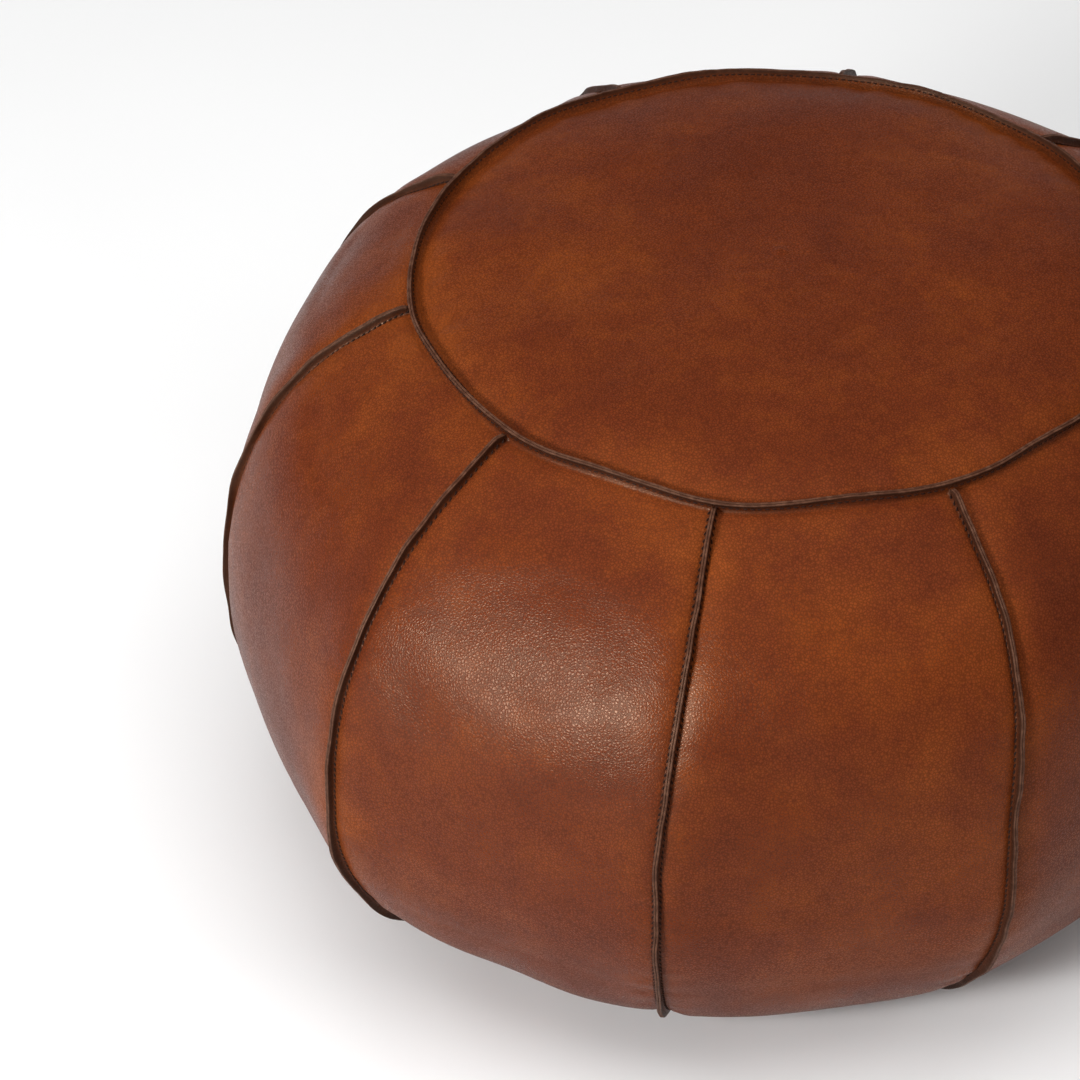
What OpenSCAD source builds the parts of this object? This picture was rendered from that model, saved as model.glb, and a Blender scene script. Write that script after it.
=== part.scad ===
// Round leather pouf: ten side gores sewn to a round top and to a two-half base
// that is closed by a zip. Every seam has its leather edges turned outward.
// Millimetres. Origin: centre of the base on the floor, +Z up, front toward -Y.

/* [Show] */
// Piece to draw; "all" draws the whole pouf

/* [Body] */
// Height of the top seam above the floor
rim_z = 329; // [250:1:400]
// Rise of the stuffed top panel above its seam
crown_h = 21; // [5:1:60]
// Radius of the top seam
rim_r = 198; // [120:1:260]
// Radius of the side seams at the widest height
belly_r = 301; // [220:1:360]
// Height of the widest part above the floor
belly_z = 140; // [80:1:220]
// Radius of the base seam
base_r = 198; // [120:1:260]
// Downward slope of the side just outside the top seam, degrees
shoulder_slope = 19; // [0:1:60]
// Reach of the shoulder curve away from the top seam
shoulder_reach = 105; // [40:1:160]
// Reach of the side curve above the widest part
upper_reach = 80; // [20:1:120]
// Reach of the side curve below the widest part
lower_reach = 55; // [20:1:100]
// Reach of the foot curve out from the base seam
foot_reach = 55; // [20:1:100]
// Sideways position of the seam circle, so the widest outline is centred
centre_x = -4; // [-20:0.5:20]
// Front-to-back position of the seam circle, so the widest outline is centred
centre_y = 8; // [-20:0.5:20]

// Sideways lean of the top seam over the base
lean_x = 12; // [-30:1:30]
// Front-to-back lean of the top seam over the base
lean_y = 4; // [-30:1:30]

/* [Gores] */
// Number of side gores
gores = 10; // [6:1:12]
// Angle of the first side seam from +X, degrees
first_seam = 9; // [0:1:60]
// How far each seam swells past the top seam, as a share of the nominal swell
swell = [1.00, 0.97, 0.95, 0.93, 0.86, 0.92, 1.17, 1.14, 1.07, 1.03]; // [0.8:0.01:1.2]
// Roundness of a gore between its seams down the side; 1 is a circle, 0 is flat
roundness = [0.95, 0.55, 0.30, 0.20, 0.12, 0.60, 1.00]; // [0:0.05:1.2]
// Depth of the valley the leather makes along a side seam
valley = 4; // [0:0.5:8]

/* [Leather] */
// Thickness of the leather
leather_t = 1.6; // [1:0.1:3]
// Width of the seam edge that is turned outward
fin_h = 6.5; // [3:0.5:12]
// Outward lean of the top seam edge from upright, degrees
rim_lean = 23; // [0:1:60]
// Half the space between the two leathers of a seam
seam_gap = 0.1; // [0.05:0.05:0.5]
// Thickness of the sewing thread
thread_d = 0.8; // [0.4:0.1:1.5]

/* [Zip] */
// Length of the zip opening in the base
zip_open = 336; // [200:2:380]
// Depth of the fold the zip sits in
zip_depth = 7; // [6:0.5:10]
// Width of one zip tape
tape_w = 14; // [10:1:20]
// Length of the zip slider body
slider_len = 14; // [8:1:20]
// Length of the pull tab beyond its eye
pull_len = 24; // [15:1:34]
// Slider position along the zip when the base is closed
slider_x = -155; // [-155:1:140]

/* [Inside] */
// Thickness of the cotton liner cloth
liner_t = 0.6; // [0.4:0.1:1.5]

/* [Hidden] */
$fn = 96;
step = 360 / gores;
ctr = [centre_x, centre_y, 0];
top_ctr = ctr + [lean_x, lean_y, 0];
// the lean grows over the upper half of the side and is whole near the top seam
function lean_share(z) = let(x = max(0, min(1, (z - rim_z + 160) / 150))) x * x * (3 - 2 * x);
function ctr_at(z) = ctr + lean_share(z) * [lean_x, lean_y, 0];
base_z = 5.2;             // height of the leather where it folds into the base seam
facet = 0.45;             // room for the flat facets beside a round seam
tan_c = [0.66, 0.36, 0.17];
edge_c = [0.30, 0.15, 0.08];
cloth_c = [0.90, 0.87, 0.80];
metal_c = [0.62, 0.56, 0.42];

function unit(v) = v / norm(v);
function bez(p, s) = pow(1 - s, 3) * p[0] + 3 * s * pow(1 - s, 2) * p[1]
    + 3 * s * s * (1 - s) * p[2] + s * s * s * p[3];
function dbez(p, s) = pow(1 - s, 2) * (p[1] - p[0]) + 2 * s * (1 - s) * (p[2] - p[1])
    + s * s * (p[3] - p[2]);
upper = [[rim_r, rim_z], [rim_r + shoulder_reach * cos(shoulder_slope), rim_z - shoulder_reach * sin(shoulder_slope)],
    [belly_r, belly_z + upper_reach], [belly_r, belly_z]];
lower = [[belly_r, belly_z], [belly_r, belly_z - lower_reach], [base_r + foot_reach, base_z], [base_r, base_z]];
// side curve: w runs 0..1 over the upper part, 1..2 over the lower part
function side_p(w) = w <= 1 ? bez(upper, w) : bez(lower, w - 1);
function side_d(w) = unit(w <= 1 ? dbez(upper, w) : dbez(lower, w - 1));
function side_n(w) = let(d = side_d(w)) [-d[1], d[0]];
function round_at(w) = let(x = w * 3, i = min(5, floor(x)), f = x - i)
    roundness[i] * (1 - f) + roundness[i + 1] * f;
function dip_at(w) = valley * min(1, 0.1 + w / 0.12) * min(1, (2 - w) / 0.25);

// stations down a gore: [grain point, flesh point, fin direction, fin rise, roundness, dip, share of the swell]
rim_f = [sin(rim_lean), cos(rim_lean)];
rim_n = [cos(rim_lean), -sin(rim_lean)];
rim_p = [rim_r, rim_z];
body_w = [0.03, 0.11, 0.2, 0.3, 0.42, 0.55, 0.68, 0.82, 1, 1.16, 1.32, 1.46, 1.6, 1.73, 1.86, 1.96];
// a side seam's edge stays off the floor, and ends above the base seam
function fin_rise(w) = let(n = side_n(w), p = side_p(w), h = (fin_h - dip_at(w)) * min(1, 0.35 + w / 0.1))
    n[1] < -0.05 ? max(0.1, min(h, (p[1] - (w > 1.8 ? 4.8 : 0.6)) / -n[1])) : h;
stations = concat(
    [[rim_p + (seam_gap + facet + leather_t) * rim_n + fin_h * rim_f, rim_p + (seam_gap + facet) * rim_n + fin_h * rim_f, rim_n, 0.3, 1, 0, 0],
     [rim_p + (seam_gap + facet + leather_t) * rim_n + 0.3 * rim_f, rim_p + (seam_gap + facet) * rim_n - 1.8 * rim_f, unit(rim_n + side_n(0)), 0.5, 1, 0, 0]],
    [for (w = body_w) let(p = side_p(w), n = side_n(w)) [p, p - leather_t * n, n, fin_rise(w), round_at(w), dip_at(w), 1]],
    [[[base_r - 0.3, base_z - 0.9], [base_r - 1.9, base_z - 0.6], [1, 0], 0.1, 1, 0, 0],
     [[base_r + 0.4, 3.5], [base_r - 1.0, 1.9], [0, 1], 0.1, 1, 0, 0],
     [[base_r + 6, 3.5], [base_r + 6, 1.9], [0, 1], 0.1, 1, 0, 0]]);

// radius at share u across gore i, for a nominal radius r
function swell_at(i, u) = swell[i % gores] * (1 - u) + swell[(i + 1) % gores] * u;
function reach(r, i, u, rd, sw = 1) = (rim_r + (r - rim_r) * (1 - sw + sw * swell_at(i, u)))
    * (1 - (1 - rd) * (1 - cos(step / 2) / cos((u - 0.5) * step)));
function place(r, z, a) = [r * cos(a), r * sin(a), z] + ctr_at(z);
cols = [0.04, 0.12, 0.3, 0.5, 0.7, 0.88, 0.96];
nc = len(cols);
function dip_share(u, r) = exp(-min(u, 1 - u) * step * PI / 180 * r / 7);
// point across gore i at share u, pushed along the section normal by h
function skin(st, i, u, h) = let(q = st[0] + (h - st[5] * dip_share(u, st[0][0])) * st[2])
    place(reach(q[0], i, u, st[4], st[6]), q[1], first_seam + (i + u) * step);
function skin_in(st, i, u) = let(q = st[1] - st[5] * dip_share(u, st[0][0]) * st[2])
    place(reach(q[0], i, u, st[4], st[6]), q[1], first_seam + (i + u) * step);
// point beside the seam plane: side 0 is the start of gore i, side 1 its end
function by_seam(q, i, side, off, rd, sw = 1) = let(r = reach(q[0], i, side, rd, sw))
    place(r, q[1], first_seam + (i + side) * step + (side == 0 ? 1 : -1) * off / r * 180 / PI);
function ring(st, i) = let(lo = st[0] - st[5] * st[2], tip = st[0] + st[3] * st[2], inn = st[1] - st[5] * st[2]) concat(
    [by_seam(inn, i, 0, seam_gap, st[4], st[6]), by_seam(tip, i, 0, seam_gap, st[4], st[6]),
     by_seam(tip, i, 0, seam_gap + leather_t, st[4], st[6]), by_seam(lo, i, 0, seam_gap + leather_t + 0.2, st[4], st[6])],
    [for (u = cols) skin(st, i, u, 0)],
    [by_seam(lo, i, 1, seam_gap + leather_t + 0.2, st[4], st[6]), by_seam(tip, i, 1, seam_gap + leather_t, st[4], st[6]),
     by_seam(tip, i, 1, seam_gap, st[4], st[6]), by_seam(inn, i, 1, seam_gap, st[4], st[6])],
    [for (k = [nc - 1:-1:0]) skin_in(st, i, cols[k])]);
rn = 8 + 2 * nc;

// triangles for a closed loft of m rings of n points
function tube_faces(m, n) = [for (a = [0:m - 2], b = [0:n - 1]) let(p = a * n + b, q = a * n + (b + 1) % n)
    each [[p, q, q + n], [p, q + n, p + n]]];
function end_pairs() = concat([[3, 0]], [for (k = [0:nc - 1]) [4 + k, rn - 1 - k]], [[4 + nc, 7 + nc]]);
function end_faces(o) = let(e = end_pairs()) concat(
    [[o, o + 1, o + 2], [o, o + 2, o + 3], [o + 7 + nc, o + 4 + nc, o + 5 + nc], [o + 7 + nc, o + 5 + nc, o + 6 + nc]],
    [for (k = [0:len(e) - 2]) each [[o + e[k][1], o + e[k][0], o + e[k + 1][0]], [o + e[k][1], o + e[k + 1][0], o + e[k + 1][1]]]]);
function flip(f) = [for (t = f) [t[2], t[1], t[0]]];

module gore(i) {
    m = len(stations);
    pts = [for (st = stations) each ring(st, i)];
    color(tan_c) polyhedron(points = pts, faces = concat(flip(tube_faces(m, rn)), end_faces(0) , flip(end_faces((m - 1) * rn))), convexity = 8);
}
module side_panel_01() { gore(0); }
module side_panel_02() { gore(1); }
module side_panel_03() { gore(2); }
module side_panel_04() { gore(3); }
module side_panel_05() { gore(4); }
module side_panel_06() { gore(5); }
module side_panel_07() { gore(6); }
module side_panel_08() { gore(7); }
module side_panel_09() { gore(8); }
module side_panel_10() { gore(9); }

// top panel: a round sheet with its edge turned up against the gores
fin_in = rim_p - seam_gap * rim_n;
crown_a = fin_in - leather_t * rim_n + 0.6 * rim_f;
crown = [crown_a, crown_a + [-22, 15], [90, rim_z + crown_h], [0, rim_z + crown_h]];
crown_s = [0, 0.06, 0.13, 0.21, 0.3, 0.4, 0.52, 0.66, 0.82, 1];
function crown_p(s, h) = let(d = unit(dbez(crown, s)), n = s == 1 ? [0, 1] : [-d[1], d[0]]) bez(crown, s) - h * (n[1] < 0 ? -n : n);
module crown_sheet(h0, h1, s0) {
    ss = [for (s = crown_s) if (s >= s0) s];
    rotate_extrude() polygon(concat([for (s = ss) let(p = crown_p(s, h0)) [max(0, p[0]), p[1]]],
        [for (k = [len(ss) - 1:-1:0]) let(p = crown_p(ss[k], h1)) [max(0, p[0]), p[1]]]));
}
module top_panel() {
    ss = [for (s = crown_s) if (s > 0) s];
    color(tan_c) translate(top_ctr) rotate_extrude() polygon(concat(
        [fin_in + fin_h * rim_f, fin_in - leather_t * rim_n + fin_h * rim_f, crown_a],
        [for (s = ss) let(p = crown_p(s, 0)) [max(0, p[0]), p[1]]],
        [for (k = [len(ss) - 1:-1:0]) let(p = crown_p(ss[k], leather_t)) [max(0, p[0]), p[1]]],
        [fin_in - 0.9 * rim_f - 0.5 * rim_n, fin_in]));
}

// base: two half discs, dished upward along the zip
zh = zip_open / 2;
module dish(x0, y0, x1, y1, z0, z1) {
    polyhedron(points = [[-x0, -y0, z0], [x0, -y0, z0], [x0, y0, z0], [-x0, y0, z0],
        [-x1, -y1, z1], [x1, -y1, z1], [x1, y1, z1], [-x1, y1, z1]],
        faces = [[0, 1, 2, 3], [7, 6, 5, 4], [4, 5, 1, 0], [5, 6, 2, 1], [6, 7, 3, 2], [7, 4, 0, 3]]);
}
module base_sheet() {
    difference() {
        union() {
            cylinder(r = base_r + 6, h = leather_t);
            dish(zh + 20, 18, zh + 8, 9.5, 0.2, zip_depth + leather_t);
        }
        dish(zh + 18.3, 16.6, zh + 6.2, 7.6, -0.01, zip_depth);
        translate([-zh, -5.6, 0]) cube([2 * zh, 11.2, 20]);
    }
}
module base_half(s) {
    color(tan_c) translate(ctr) intersection() {
        base_sheet();
        translate([-300, s > 0 ? seam_gap : -300 - seam_gap, -1]) cube([600, 300, 40]);
    }
}
module base_panel_front() { base_half(-1); }
module base_panel_rear() { base_half(1); }

// zip: two tapes above the folded edges, coils hanging in the opening
tape_z = zip_depth + leather_t + 0.1;
module tape(s) {
    color(edge_c) translate(ctr) translate([-zh - 8, s > 0 ? 1.1 : -1.1 - tape_w, tape_z]) cube([2 * zh + 16, tape_w, 0.6]);
}
module zip_tape_front() { tape(-1); }
module zip_tape_rear() { tape(1); }
coil_x0 = -zh + 6;
coil_x1 = zh - 18;
module coil(s) {
    color(edge_c) translate(ctr) translate([coil_x0, s * 2, tape_z - 0.75]) rotate([0, 90, 0])
        scale([0.5, 1, 1]) cylinder(r = 1.3, h = coil_x1 - coil_x0, $fn = 48);
}
module zip_coil_front() { coil(-1); }
module zip_coil_rear() { coil(1); }

slider_z0 = tape_z - 3.6;   // lower face of the slider's outer plate
bar_z = slider_z0 - 2.2;    // hinge line of the pull tab
module zip_slider() {
    color(metal_c) translate(ctr + [slider_x, 0, 0]) difference() {
        union() {
            // outer plate with side guards, inner plate, web between them
            translate([-slider_len / 2, -4.9, slider_z0]) cube([slider_len, 9.8, 1.4]);
            for (s = [-1, 1]) translate([-slider_len / 2, s > 0 ? 3.9 : -4.9, slider_z0]) cube([slider_len, 1, 3.2]);
            translate([-slider_len / 2, -4.4, tape_z + 1]) cube([slider_len, 8.8, 1.2]);
            translate([-slider_len / 2, -0.35, slider_z0 + 0.5]) cube([3, 0.7, tape_z + 1.5 - slider_z0]);
            // two posts and the bar that carries the pull tab
            for (s = [-1, 1]) translate([-1.4, s > 0 ? 2.2 : -3.2, bar_z]) cube([2.8, 1, slider_z0 - bar_z + 0.3]);
            for (s = [-1, 1]) translate([0, s > 0 ? 2.2 : -3.2, bar_z]) rotate([-90, 0, 0]) cylinder(r = 1.4, h = 1, $fn = 48);
            translate([0, -2.7, bar_z]) rotate([-90, 0, 0]) cylinder(r = 0.8, h = 5.4, $fn = 48);
        }
        // round off the nose
        for (s = [-1, 1]) translate([-slider_len / 2, s * 4.9, -1]) rotate([0, 0, 45]) cube([2.4, 2.4, 40], center = true);
    }
}
module zip_pull_tab() {
    color(metal_c) translate(ctr + [slider_x, 0, bar_z]) difference() {
        union() {
            rotate([90, 0, 0]) translate([0, 0, -1.8]) cylinder(r = 1.85, h = 3.6, $fn = 48);
            translate([0, -1.8, -0.6]) cube([8, 3.6, 1.2]);
            translate([6, -3.6, -0.6]) cube([pull_len - 9.6, 7.2, 1.2]);
            translate([pull_len - 3.6, 0, -0.6]) cylinder(r = 3.6, h = 1.2, $fn = 48);
        }
        rotate([90, 0, 0]) translate([0, 0, -3]) cylinder(r = 1.15, h = 6, $fn = 48);
        translate([pull_len - 4, 0, -2]) cylinder(r = 1.5, h = 4, $fn = 48);
    }
}
module zip_top_stops() {
    color(metal_c) for (s = [-1, 1]) translate(ctr + [coil_x0 - 2.6, s > 0 ? 0.7 : -3.3, tape_z - 1.5]) cube([2.2, 2.6, 1.45]);
}
module zip_bottom_stop() {
    color(metal_c) translate(ctr + [coil_x1 + 0.4, -3.3, tape_z - 1.5]) cube([3, 6.6, 1.45]);
}

// cotton liner and loose filling
in_w = [for (w = body_w) w];
function rings_at(depth) = [for (w = in_w) let(p = side_p(w), n = side_n(w)) [p, p - depth * n, n, 0, round_at(w), dip_at(w), 1]];
// a little extra at the seams keeps clear of the gore corners
function loop(st) = [for (i = [0:gores - 1]) each concat([let(q = st[1] - st[5] * st[2]) place(reach(q[0], i, 0, st[4]), q[1], first_seam + i * step)],
    [for (u = cols) skin_in(st, i, u)])];
module liner_side() {
    so = rings_at(leather_t + 0.9);
    si = rings_at(leather_t + 0.9 + liner_t);
    n = gores * (nc + 1);
    m = len(so);
    o = [for (st = so) each loop(st)];
    q = [for (st = si) each loop(st)];
    k = len(o);
    outer = flip(tube_faces(m, n));
    inner = [for (f = tube_faces(m, n)) [f[0] + k, f[1] + k, f[2] + k]];
    top = [for (b = [0:n - 1]) let(c = (b + 1) % n) each [[b, c, k + c], [b, k + c, k + b]]];
    base = [for (b = [0:n - 1]) let(c = (b + 1) % n, e = (m - 1) * n) each [[e + c, e + b, k + e + b], [e + c, k + e + b, k + e + c]]];
    color(cloth_c) polyhedron(points = concat(o, q), faces = concat(outer, inner, top, base), convexity = 8);
}
module liner_top() {
    color(cloth_c) translate(top_ctr) crown_sheet(leather_t + 0.4, leather_t + 0.4 + liner_t, 0.06);
}
module liner_base() {
    z = leather_t + 0.3;
    color(cloth_c) translate(ctr) difference() {
        union() {
            translate([0, 0, z]) cylinder(r = base_r - 4, h = liner_t);
            dish(zh + 22, 25, zh + 13, 18, z, 13.4);
        }
        dish(zh + 21.3, 24.3, zh + 12.3, 17.3, z - 0.01, 12.8);
    }
}
module filling() {
    st = rings_at(leather_t + 1.6 + liner_t);
    n = gores * (nc + 1);
    body = [for (s = st) each loop(s)];
    deep = leather_t + 1 + liner_t;
    tops = concat([for (k = [len(crown_s) - 2:-1:2]) crown_p(crown_s[k], deep)], [[rim_r - 3, rim_z - 5]]);
    cap = [for (t = tops) each [for (i = [0:gores - 1], u = concat([0], cols)) place(t[0], t[1], first_seam + (i + u) * step)]];
    foot = [for (i = [0:gores - 1], u = concat([0], cols)) place(base_r - 9, 3.4, first_seam + (i + u) * step)];
    pts = concat(cap, body, foot, [place(0, rim_z + crown_h - deep, 0), place(0, 3.4, 0)]);
    m = len(tops) + len(st) + 1;
    e = (m - 1) * n;
    color([0.94, 0.92, 0.88]) difference() {
        polyhedron(points = pts, faces = concat(flip(tube_faces(m, n)),
            [for (b = [0:n - 1]) [b, (b + 1) % n, m * n]],
            [for (b = [0:n - 1]) [e + (b + 1) % n, e + b, m * n + 1]]), convexity = 8);
        translate(ctr) translate([-zh - 24, -27, 0]) cube([2 * zh + 48, 54, 14]);
    }
}

// sewing thread, drawn as one line of thread along each side of a seam edge
module stitching_top_seam() {
    color(edge_c) translate(top_ctr) rotate_extrude() {
        translate(fin_in - (leather_t + thread_d / 2 + 0.05) * rim_n + 3.2 * rim_f) circle(d = thread_d, $fn = 24);
        translate(rim_p + (seam_gap + facet + leather_t + thread_d / 2 + 0.1) * rim_n + 3.2 * rim_f) circle(d = thread_d, $fn = 24);
    }
}
module stitching_base_seam() {
    color(edge_c) translate(ctr) rotate_extrude() translate([base_r + 3, 3.5 + thread_d / 2 + 0.05]) circle(d = thread_d, $fn = 24);
}
module side_thread(i, side) {
    sw = [for (w = body_w) if (w > 0.1 && w < 1.8) w];
    t = thread_d;
    pts = [for (w = sw) let(p = side_p(w), n = side_n(w), rd = round_at(w), lo = p + (0.7 - dip_at(w) * 0.5) * n, hi = lo + t * n, o = seam_gap + leather_t + 0.35)
        each [by_seam(lo, i, side, o, rd), by_seam(hi, i, side, o, rd), by_seam(hi, i, side, o + t, rd), by_seam(lo, i, side, o + t, rd)]];
    m = len(sw);
    f = concat(flip(tube_faces(m, 4)), [[0, 1, 2], [0, 2, 3]], flip([[4 * m - 4, 4 * m - 3, 4 * m - 2], [4 * m - 4, 4 * m - 2, 4 * m - 1]]));
    polyhedron(points = pts, faces = side == 0 ? f : flip(f), convexity = 4);
}
module stitching_side_seams() {
    color(edge_c) for (i = [0:gores - 1], side = [0, 1]) side_thread(i, side);
}

top_panel();
side_panel_01();
side_panel_02();
side_panel_03();
side_panel_04();
side_panel_05();
side_panel_06();
side_panel_07();
side_panel_08();
side_panel_09();
side_panel_10();
base_panel_front();
base_panel_rear();
zip_tape_front();
zip_tape_rear();
zip_coil_front();
zip_coil_rear();
zip_slider();
zip_pull_tab();
zip_top_stops();
zip_bottom_stop();
liner_top();
liner_side();
liner_base();
filling();
stitching_side_seams();
stitching_top_seam();
stitching_base_seam();
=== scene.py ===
import math

import bpy
import numpy as np
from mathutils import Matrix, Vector


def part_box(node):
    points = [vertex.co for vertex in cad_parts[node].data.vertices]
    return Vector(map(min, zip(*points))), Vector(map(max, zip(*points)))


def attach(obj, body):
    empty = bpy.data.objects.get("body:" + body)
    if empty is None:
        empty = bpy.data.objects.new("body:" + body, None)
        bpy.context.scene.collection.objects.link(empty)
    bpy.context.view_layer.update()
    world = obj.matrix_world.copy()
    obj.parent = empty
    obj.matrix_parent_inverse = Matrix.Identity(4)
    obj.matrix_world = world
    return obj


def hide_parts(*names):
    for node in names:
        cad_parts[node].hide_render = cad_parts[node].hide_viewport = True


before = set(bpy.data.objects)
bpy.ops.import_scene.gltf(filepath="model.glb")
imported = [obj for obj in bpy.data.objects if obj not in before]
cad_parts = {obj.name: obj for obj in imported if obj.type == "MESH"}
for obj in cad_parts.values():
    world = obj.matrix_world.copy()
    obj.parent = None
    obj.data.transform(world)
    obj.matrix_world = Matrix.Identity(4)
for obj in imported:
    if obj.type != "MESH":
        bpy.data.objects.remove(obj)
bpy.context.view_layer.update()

MM = 0.001

# ---------------------------------------------------------------- the frame
# Everything below is worked out in millimetres in the row frame. The seam
# circles and the gore rule are the ones of the CAD model.
lo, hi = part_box("top_panel")
TOP_C = np.array([(lo[0] + hi[0]) / 2, (lo[1] + hi[1]) / 2]) / MM
lo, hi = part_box("stitching_base_seam")
BASE_C = np.array([(lo[0] + hi[0]) / 2, (lo[1] + hi[1]) / 2]) / MM
LEAN = TOP_C - BASE_C
RIM_R, RIM_Z, CROWN = 198.0, 329.0, 21.0
BELLY_R, BELLY_Z, BASE_R, BASE_Z = 301.0, 140.0, 198.0, 5.2
SWELL = np.array([1.00, 0.97, 0.95, 0.93, 0.86, 0.92, 1.17, 1.14, 1.07, 1.03])
ROUND = [0.95, 0.55, 0.30, 0.20, 0.12, 0.60, 1.00]
FIRST, STEP, GORES = 9.0, 36.0, 10
FIN, LEATHER, VALLEY = 6.5, 1.6, 4.0
# how far each seam wanders sideways at half height, degrees
DRIFT = np.array([0.0, 0.0, -0.6, -1.3, -0.9, -1.1, 1.6, 1.1, 0.4, 0.0])


def bez(p, s):
    s = np.asarray(s)[..., None]
    p = [np.array(q, float) for q in p]
    return (1 - s) ** 3 * p[0] + 3 * s * (1 - s) ** 2 * p[1] + 3 * s * s * (1 - s) * p[2] + s ** 3 * p[3]


UPPER = [(RIM_R, RIM_Z), (RIM_R + 105 * math.cos(math.radians(19)), RIM_Z - 105 * math.sin(math.radians(19))),
         (BELLY_R, BELLY_Z + 80), (BELLY_R, BELLY_Z)]
LOWER = [(BELLY_R, BELLY_Z), (BELLY_R, BELLY_Z - 55), (BASE_R + 55, BASE_Z), (BASE_R, BASE_Z)]
_w = np.linspace(0, 2, 1601)
_p = np.where(_w[:, None] <= 1, bez(UPPER, np.clip(_w, 0, 1)), bez(LOWER, np.clip(_w - 1, 0, 1)))
_d = np.gradient(_p, axis=0)
_d /= np.linalg.norm(_d, axis=1)[:, None]
_n = np.stack([-_d[:, 1], _d[:, 0]], 1)
_a = np.concatenate([[0], np.cumsum(np.linalg.norm(np.diff(_p, axis=0), axis=1))])
ARC = _a[-1]                      # length of a gore from seam to seam


def side(a):
    """Profile point, normal and w at arc length a from the top seam."""
    w = np.interp(a, _a, _w)
    p = np.stack([np.interp(w, _w, _p[:, 0]), np.interp(w, _w, _p[:, 1])], -1)
    n = np.stack([np.interp(w, _w, _n[:, 0]), np.interp(w, _w, _n[:, 1])], -1)
    return p, n / np.linalg.norm(n, axis=-1)[..., None], w


def smooth(x):
    x = np.clip(x, 0, 1)
    return x * x * (3 - 2 * x)


def lean(z):
    return smooth((z - RIM_Z + 160) / 150)


def centre(z):
    return BASE_C[None, :] + lean(z).reshape(-1, 1) * LEAN[None, :]


def place(r, z, th):
    """Cylinder coordinates (degrees) round the leaning axis to xyz, for equal-shaped arrays."""
    r, z, th = np.broadcast_arrays(r, z, th)
    c = lean(z)
    t = np.radians(th)
    return np.stack([r * np.cos(t) + BASE_C[0] + c * LEAN[0], r * np.sin(t) + BASE_C[1] + c * LEAN[1], z], -1)


def round_at(w):
    return np.interp(w, np.arange(7) / 3.0, ROUND)


def seam_theta(i, w):
    """Angle of seam i, which wanders a little at half height."""
    i = i % GORES
    return FIRST + STEP * i + DRIFT[i] * np.sin(np.pi * np.clip(w / 2, 0, 1))


def lerp(a, b, u):
    return a * (1 - u) + b * u


# smooth repeatable noise, built from a few fixed waves
def waves(seed, *xs, n=7, lo=0.5, hi=2.0):
    rng = np.random.RandomState(seed)
    out = 0.0
    amp = 0.0
    for _ in range(n):
        k = rng.uniform(lo, hi)
        d = rng.normal(size=len(xs))
        d = d / np.linalg.norm(d) * k
        a = 1 / k
        out = out + a * np.sin(sum(di * x for di, x in zip(d, xs)) * 2 * np.pi + rng.uniform(0, 6.3))
        amp += a * a / 2
    return out / math.sqrt(amp)


# the rim between two side seams pulls in and stands up slightly
def rim_line(th):
    u = ((th - FIRST) / STEP) % 1.0
    b = np.sin(np.pi * u) ** 2
    r = RIM_R - 1.4 * b + 0.5 * waves(3, np.cos(np.radians(th)) * 1.5, np.sin(np.radians(th)) * 1.5)
    z = RIM_Z - 0.8 + 2.4 * b + 0.5 * waves(4, np.cos(np.radians(th)) * 1.5, np.sin(np.radians(th)) * 1.5)
    return r, z


def rim_lean(th):
    return np.radians(23 + 6.5 * waves(5, np.cos(np.radians(th)) * 2.8, np.sin(np.radians(th)) * 2.8))


def rim_height(th):
    c, s = np.cos(np.radians(th)), np.sin(np.radians(th))
    return FIN * 0.63 * (1 + 0.10 * waves(11, c * 2.4, s * 2.4) + 0.03 * waves(15, c * 11, s * 11))


# ---------------------------------------------------------------- cloth
def make_mesh(name, verts, faces, attrs=None, smooth_shade=True):
    me = bpy.data.meshes.new(name)
    verts = np.asarray(verts, float) * MM
    faces = np.asarray(faces)
    me.vertices.add(len(verts))
    me.vertices.foreach_set("co", verts.ravel())
    k = faces.shape[1]
    me.loops.add(faces.size)
    me.loops.foreach_set("vertex_index", faces.astype(np.int32).ravel())
    me.polygons.add(len(faces))
    me.polygons.foreach_set("loop_start", np.arange(0, faces.size, k, dtype=np.int32))
    me.polygons.foreach_set("loop_total", np.full(len(faces), k, np.int32))
    me.update(calc_edges=True)
    me.validate()
    if smooth_shade:
        me.polygons.foreach_set("use_smooth", np.ones(len(me.polygons), bool))
    for key, val in (attrs or {}).items():
        at = me.attributes.new(key, "FLOAT", "POINT")
        at.data.foreach_set("value", np.asarray(val, np.float32).ravel())
    ob = bpy.data.objects.new(name, me)
    bpy.context.scene.collection.objects.link(ob)
    return ob


def grid_faces(rows, cols, wrap=False, flip=False, off=0):
    r = np.arange(rows - 1)[:, None]
    c = np.arange(cols if wrap else cols - 1)[None, :]
    a = r * cols + c
    b = r * cols + (c + 1) % cols
    f = np.stack([a, b, b + cols, a + cols], -1).reshape(-1, 4) + off
    return f[:, ::-1] if flip else f


NU, NS = 22, 56                    # cloth cells across and down a gore


def gore_env(i, u, a, h=0.0, dip=True):
    """The stuffed surface of gore i at share u across and arc a down, h out along the normal."""
    u, a = np.broadcast_arrays(u, a)
    p, n, w = side(a)
    q = p + (np.asarray(h)[..., None] if np.ndim(h) else h) * n
    sw = lerp(SWELL[i % 10], SWELL[(i + 1) % 10], u)
    rd = round_at(w)
    r = (RIM_R + (q[..., 0] - RIM_R) * sw) * (1 - (1 - rd) * (1 - math.cos(math.radians(18)) / np.cos(np.radians((u - 0.5) * STEP))))
    th = lerp(seam_theta(i, w), seam_theta(i + 1, w) + (360 if (i % 10) == 9 else 0), u)
    return r, q[..., 1], th, n, w


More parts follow.
